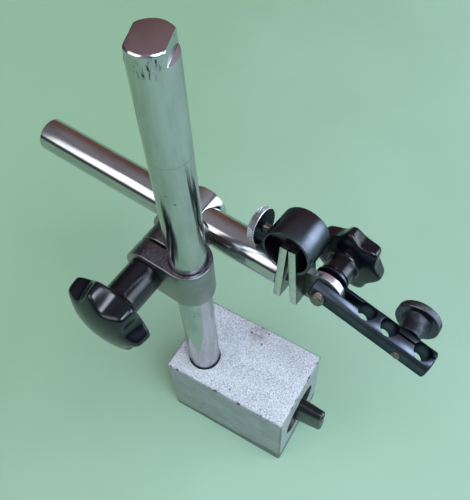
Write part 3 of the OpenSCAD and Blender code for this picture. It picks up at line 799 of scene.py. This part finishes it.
def lever_piece():
    """The switch lever: a tapered grip with a rounded tip."""
    low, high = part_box("switch_lever")
    points = points_of("switch_lever")
    tip = points[points[:, 0] > high.x - 2 * MM]
    root_tall, root_thick = high.z - low.z, high.y - low.y
    tip_tall, tip_thick = np.ptp(tip[:, 2]), np.ptp(tip[:, 1])
    middle = (low.z + high.z) / 2
    places = list(np.linspace(low.x, high.x - LEVER_ROUND, LEVER_ROWS))
    inset = [0.0] * LEVER_ROWS
    for a in np.linspace(0, math.pi / 2, LEVER_TIP_ROWS + 1)[1:]:
        places.append(high.x - LEVER_ROUND * (1 - math.sin(a)))
        inset.append(LEVER_ROUND * (1 - math.cos(a)))
    outlines = []
    for x, cut in zip(places, inset):
        t = (x - low.x) / (high.x - low.x)
        tall = root_tall + (tip_tall - root_tall) * t - 2 * cut
        thick = root_thick + (tip_thick - root_thick) * t - 2 * cut
        outlines.append(stadium(x, middle, tall, thick))
    steps = LEVER_STEPS
    last = len(outlines) - 1
    faces = [tuple(range(steps)), tuple(last * steps + j for j in range(steps))]
    for i in range(last):
        for j in range(steps):
            k = (j + 1) % steps
            faces.append((i * steps + j, i * steps + k, (i + 1) * steps + k, (i + 1) * steps + j))
    mesh = mesh_from("lever_grip", np.vstack(outlines), faces)
    return make_piece("lever_grip", mesh, Matrix.Identity(4), "switch_lever")


dress(lever_piece(), lever_black)

# Post and arm
dress(eased("post", POST_EDGE), post_steel, rubbed_edge_highlight)


def arm_piece():
    """The arm: a polished rod, with the hole for its end screw."""
    place = axis_frame("head_roll")
    low, high = extent("arm", place)
    radius = reach("arm", place)
    face = reach("arm", place, high - TINY, high + TINY)
    edge = radius - face
    hole = reach("jaw_screw", place, low, high)
    bottom = extent("jaw_screw", place)[0] - MM
    corners = [(0, low, 0), (face, low, 0.1 * MM), (radius, low + edge, 0.1 * MM),
               (radius, high - edge, 0.1 * MM), (face, high, 0.1 * MM),
               (hole, high, 0.05 * MM), (hole, bottom, 0.1 * MM), (0, bottom, 0)]
    mesh = turned_mesh("arm_rod", refined(rounded_path(corners, 3), ROD_ROW), ROD_STEPS)
    return make_piece("arm_rod", mesh, place, "arm")


dress(arm_piece(), polished)
dress(NODES["jaw_screw"], oxide)

# Clamp
dress(eased("post_clamp", CLAMP_EDGE, segments=3), clamp_satin, rubbed_edge_highlight)
dress(eased("saddle_sleeve", SLEEVE_EDGE), clamp_satin, rubbed_edge_highlight)
dress(eased("draw_bolt", BOLT_EDGE), polished, rubbed_edge_highlight)
dress(NODES["clamp_knob_insert"], insert_brass)


def knob_piece(name, node, joint, bore, blend):
    """A moulded knob: a stem, and a domed head whose scallops run out softly between the lobes."""
    place = axis_frame(joint)
    radius, angle, height = around(node, place)
    low, top = height.min(), height.max()
    lobe_r = radius.max()
    valley_r = lobe_r * VALLEY_SHARE
    stem_r = reach(node, place, low - TINY, low + MM)
    head_low = height[radius > 1.02 * stem_r].min()
    crest = angle[radius > 0.995 * lobe_r]
    phase = np.angle(np.exp(1j * KNOB_LOBES * crest).mean()) / KNOB_LOBES
    bore_r = reach(bore, place, low, top)
    bore_top = extent(bore, place)[1]

    head = top - head_low
    outer = lobe_r + blend / 8
    crown, heel = head * CROWN_SHARE, head * HEEL_SHARE
    crown_r = (outer ** 2 + crown ** 2) / (2 * crown)
    heel_z = (outer ** 2 + heel ** 2 - stem_r ** 2) / (2 * heel)
    heel_r = math.hypot(heel_z, stem_r)
    kept = [(0, bore_top), (bore_r, bore_top), (bore_r, low),
            (stem_r - KNOB_EDGE, low), (stem_r, low + KNOB_EDGE)]
    path = [kept[-1], (stem_r, head_low)]
    for r in np.linspace(stem_r, outer, HEEL_POINTS)[1:]:
        path.append((r, head_low + heel_z - math.sqrt(heel_r ** 2 - r ** 2)))
    for r in np.linspace(outer, 0, CROWN_POINTS):
        path.append((r, top - crown_r + math.sqrt(crown_r ** 2 - r ** 2)))
    path = kept + refined(path, KNOB_ROW)[1:]

    step = 2 * math.pi / KNOB_LOBES
    crest_r = outer + blend / 2
    rise = (crest_r - valley_r) / (step / 2) ** 2

    def scallops(radius, height, angle):
        off = np.abs((angle - phase) % step - step / 2)
        depth = valley_r + (top - crown - height) * math.tan(SCALLOP_LEAN)
        limit = soft_min(depth + rise * off ** 2, depth + rise * (step - off) ** 2, blend)
        return np.where(height > head_low, soft_min(radius, limit, blend), radius)

    mesh = turned_mesh(name, path, KNOB_LOBES * STEPS_PER_LOBE, scallops, KNOB_EASE, len(kept))
    return make_piece(name, mesh, place, node)


knobs = [
    ("clamp_grip", "clamp_knob", "clamp_knob_turn", "clamp_knob_insert", CLAMP_KNOB_BLEND),
    ("swivel_grip", "swivel_knob", "swivel_knob_turn", "swivel_stud", SWIVEL_KNOB_BLEND),
]
for name, node, joint, bore, blend in knobs:
    dress(knob_piece(name, node, joint, bore, blend), knob_black)

# Fine adjustment
arm_way = Vector(JOINTS["arm_slide"]["axis"])
jaw_up = Vector(points_of("spring_ring").mean(0) - points_of("fixed_jaw").mean(0)).normalized()
for node in ("fixed_jaw", "moving_jaw"):
    jaw = eased(node, JAW_EDGE)
    dress(jaw, ground, rubbed_edge_highlight, shaded_jaw_side)
    # The jaws' sides and tops take the darker copy of the steel, as painted shade
    assign(jaw, 2, lambda middle, normal: abs(normal.dot(arm_way)) > FACING)
    assign(jaw, 2, lambda middle, normal: normal.dot(jaw_up) > FACING_UP)
tongue = eased("swivel_tongue", TONGUE_EDGE)
dress(tongue, lit_tongue_steel, rubbed_edge_highlight, shaded_jaw_side)
swivel_way = Vector(JOINTS["bar_swing"]["axis"])
# The tongue's flat faces take the darker copy of the steel, as painted shade
assign(tongue, 2, lambda middle, normal: abs(normal.dot(swivel_way)) > FACING)
dress(eased("spring_ring", RING_EDGE), oxide, rubbed_edge_highlight)


def fine_screw_piece():
    """The adjusting screw: a diamond-knurled head and a threaded shank."""
    place = axis_frame("fine_turn")
    head_r = reach("fine_screw", place)
    low, high = extent("fine_screw", place, 0.9 * head_r)
    tip = extent("fine_screw", place)[1]
    shank = reach("fine_screw", place, high + TINY)
    dish = 0.35 * MM
    corners = [(0, low + dish, 0), (0.62 * head_r, low + dish, 0.3 * MM), (0.74 * head_r, low, 0.3 * MM),
               (head_r - HEAD_BEVEL, low, 0.15 * MM), (head_r, low + HEAD_BEVEL, 0.1 * MM),
               (head_r, high - HEAD_BEVEL, 0.1 * MM), (head_r - HEAD_BEVEL, high, 0.15 * MM),
               (1.5 * shank, high, 0.2 * MM), (shank, high + 0.3 * MM, 0.2 * MM),
               (shank, tip - 0.4 * MM, 0.1 * MM), (shank - 0.4 * MM, tip, 0.1 * MM), (0, tip, 0)]
    knurl = knurled(low, high, FINE_RIDGES, FINE_KNURL_PITCH, FINE_KNURL_DEPTH)
    thread = threaded(high + 0.5 * MM, tip - 0.3 * MM, shank + TINY, SCREW_PITCH, SCREW_DEPTH)
    mesh = screw_mesh("fine_knob", corners, FINE_ROW, FINE_STEPS, knurl, thread)
    piece = make_piece("fine_knob", mesh, place, "fine_screw")
    dress(piece, oxide, knurl_grey, thread_steel)
    rubbed_r = head_r - 0.7 * FINE_KNURL_DEPTH
    assign(piece, 1, lambda middle, normal: off_axis(middle) > rubbed_r)
    assign(piece, 2, lambda middle, normal: off_axis(middle) < 1.1 * shank and middle.z > high)


fine_screw_piece()

# Indicator holder
dress(eased("indicator_bar", BAR_EDGE), bar_oxide, worn_oxide)
for node in ("swivel_washer", "swivel_spring_washer"):
    dress(eased(node, WASHER_EDGE), oxide, rubbed_edge_highlight)


def stud_piece():
    """The swivel stud: threaded all the way, with a rounded tip."""
    place = axis_frame("swivel_knob_turn")
    low, high = extent("swivel_stud", place)
    radius = reach("swivel_stud", place)
    corners = [(0, low, 0), (radius - 0.6 * MM, low, 0.2 * MM), (radius, low + 0.5 * MM, 0.2 * MM),
               (radius, high - 0.5 * MM, 0.1 * MM), (radius - 0.5 * MM, high, 0.1 * MM), (0, high, 0)]
    thread = threaded(low + 0.3 * MM, high - 0.6 * MM, radius + TINY, STUD_PITCH, STUD_DEPTH)
    mesh = turned_mesh("swivel_thread", refined(rounded_path(corners), STUD_ROW), STUD_STEPS, thread)
    return make_piece("swivel_thread", mesh, place, "swivel_stud")


dress(stud_piece(), thread_steel)


def stem_screw_piece():
    """The stem screw: a finely knurled disc on a flared collar, and a threaded shank through the bar."""
    place = axis_frame("stem_screw_turn")
    head_r = reach("stem_screw", place)
    low, high = extent("stem_screw", place, 0.9 * head_r)
    tip = extent("stem_screw", place)[0]
    collar_low = extent("stem_screw", place, 0.4 * head_r)[0]
    collar = reach("stem_screw", place, collar_low - TINY, low - MM)
    shank = reach("stem_screw", place, tip - TINY, collar_low - TINY)
    flare_tall, flare_wide = 3.4 * MM, 1.6 * MM
    dish = 0.4 * MM
    corners = [(0, tip, 0), (shank - 0.7 * MM, tip, 0.3 * MM), (shank, tip + 0.6 * MM, 0.2 * MM),
               (shank, collar_low, 0.02 * MM), (collar - 0.3 * MM, collar_low, 0.15 * MM),
               (collar, collar_low + 0.3 * MM, 0.15 * MM), (collar, low - flare_tall, 1.6 * MM),
               (collar + flare_wide, low, 0.7 * MM), (head_r - HEAD_BEVEL, low, 0.15 * MM),
               (head_r, low + HEAD_BEVEL, 0.1 * MM), (head_r, high - HEAD_BEVEL, 0.1 * MM),
               (head_r - HEAD_BEVEL, high, 0.15 * MM), (0.7 * head_r, high, 0.3 * MM),
               (0.6 * head_r, high - dish, 0.3 * MM), (0, high - dish, 0)]
    knurl = knurled(low, high, STEM_RIDGES, STEM_KNURL_PITCH, STEM_KNURL_DEPTH)
    thread = threaded(tip + 0.4 * MM, collar_low - 0.2 * MM, shank + TINY, SCREW_PITCH, SCREW_DEPTH)
    mesh = screw_mesh("stem_knob", corners, STEM_ROW, STEM_STEPS, knurl, thread)
    piece = make_piece("stem_knob", mesh, place, "stem_screw")
    dress(piece, oxide, collar_steel, thread_steel, knurl_brown)
    rubbed_r = head_r - 0.6 * STEM_KNURL_DEPTH
    assign(piece, 1, lambda middle, normal: collar_low < middle.z < low - 0.2 * MM)
    assign(piece, 2, lambda middle, normal: middle.z < collar_low)
    assign(piece, 3, lambda middle, normal: off_axis(middle) > rubbed_r)


stem_screw_piece()

# Floor, light and camera


def add_floor():
    """A wide floor, darker to one side as painted shade, with a faint unevenness of colour."""
    half = FLOOR_HALF
    mesh = bpy.data.meshes.new("floor")
    corners = [(-half, -half, 0), (half, -half, 0), (half, half, 0), (-half, half, 0)]
    mesh.from_pydata(corners, [], [(0, 1, 2, 3)])
    floor = bpy.data.objects.new("floor", mesh)
    bpy.context.scene.collection.objects.link(floor)
    f = Finish("floor", metallic=0.0)
    f.set("Roughness", 0.55)
    f.set("Specular IOR Level", 0.2)
    uneven = f.ramp(f.noise(9, 4), 0.3, 0.7, -0.05, 0.05)
    along = f.combine("ADD", f.part(f.place, "X"), uneven)
    # Painted shade: the floor is darker towards -X
    f.set("Base Color", f.mix(f.ramp(along, *FLOOR_FADE), FLOOR_PAINTED_SHADE, FLOOR))
    dress(floor, f.material)


def add_window():
    """A soft rectangular lamp that looks at the object."""
    lamp = bpy.data.lights.new("window", "AREA")
    lamp.shape = "RECTANGLE"
    lamp.size, lamp.size_y = WINDOW_SIZE
    lamp.energy = WINDOW_POWER
    holder = bpy.data.objects.new("window", lamp)
    holder.location = WINDOW_PLACE
    way = Vector(WINDOW_TARGET) - Vector(WINDOW_PLACE)
    holder.rotation_euler = way.to_track_quat("-Z", "Y").to_euler()
    bpy.context.scene.collection.objects.link(holder)


def add_world():
    """A room: dark brown behind the object, grey overhead and paler at the front, with soft glows."""
    world = bpy.data.worlds.new("room")
    world.use_nodes = True
    s = Shading(world.node_tree)
    background = s.tree.nodes["Background"]
    height = s.part(s.direction, "Z")
    front = s.ramp(s.part(s.direction, "Y"), 0.35, -0.45)
    facing = s.mix(s.ramp(height, 0.12, 0.40), ROOM_LOW, ROOM_FRONT)
    walls = s.mix(front, ROOM_BACK, facing)
    light = s.mix(s.ramp(height, 0.45, 0.98), walls, ROOM_TOP)
    aside = s.combine("ABSOLUTE", s.combine("ADD", s.part(s.direction, "X"), 0.2))
    light = s.mix(s.ramp(aside, 0.35, 0.75), light, ROOM_DIM)
    for way, start, core, colour in GLOWS:
        near = s.vectors("DOT_PRODUCT", s.direction, tuple(Vector(way).normalized()), "Value")
        share = s.ramp(near, math.cos(math.radians(start)), math.cos(math.radians(core)))
        light = s.mix(share, light, colour)
    s.feed(background.inputs["Color"], light)
    bpy.context.scene.world = world


def add_camera():
    """The camera, where the photograph was taken from."""
    camera = bpy.data.cameras.new("camera")
    camera.lens = CAMERA_LENS
    camera.sensor_width = CAMERA_SENSOR
    camera.clip_start = CAMERA_NEAR
    holder = bpy.data.objects.new("camera", camera)
    holder.location = CAMERA_PLACE
    holder.rotation_euler = Euler([math.radians(a) for a in CAMERA_TURN])
    bpy.context.scene.collection.objects.link(holder)
    bpy.context.scene.camera = holder


add_floor()
add_world()
add_window()
add_camera()
bpy.context.scene.view_settings.view_transform = "Standard"

bpy.context.view_layer.update()
